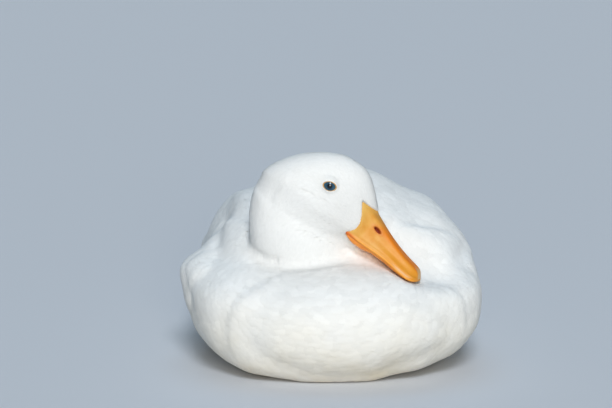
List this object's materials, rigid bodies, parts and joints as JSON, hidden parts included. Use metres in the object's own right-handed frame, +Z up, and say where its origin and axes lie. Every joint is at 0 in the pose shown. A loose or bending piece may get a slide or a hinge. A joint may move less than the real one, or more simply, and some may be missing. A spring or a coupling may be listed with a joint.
{
  "type": "resting duck model",
  "caption": "Life-size still model of a large white farm duck resting on the ground, head drawn in and turned to its left, bill laid on the breast.",
  "frame": {"origin": "on the ground, under the middle of the whole bird's bounding box", "axes": "+Z up from the ground; the body faces -Y, so +Y runs along the body to the tail; +X is the bird's own left, the side its head is turned to"},
  "size_m": [0.2122, 0.4341, 0.1517],
  "materials": {
    "plumage": "white feathers, soft and matt",
    "bill": "orange horn, satin, paler nail",
    "eye": "slate-blue iris under a clear glossy cornea",
    "foot": "orange scaly skin"
  },
  "bodies": {
    "root": {"trunk": "plumage", "neck": "plumage", "head": "plumage", "wing_left": "plumage", "wing_right": "plumage", "tail": "plumage", "bill_upper": "bill", "bill_lower": "bill", "eye_left": "eye", "eye_right": "eye", "leg_left": "foot", "leg_right": "foot"}
  },
  "joints": []
}
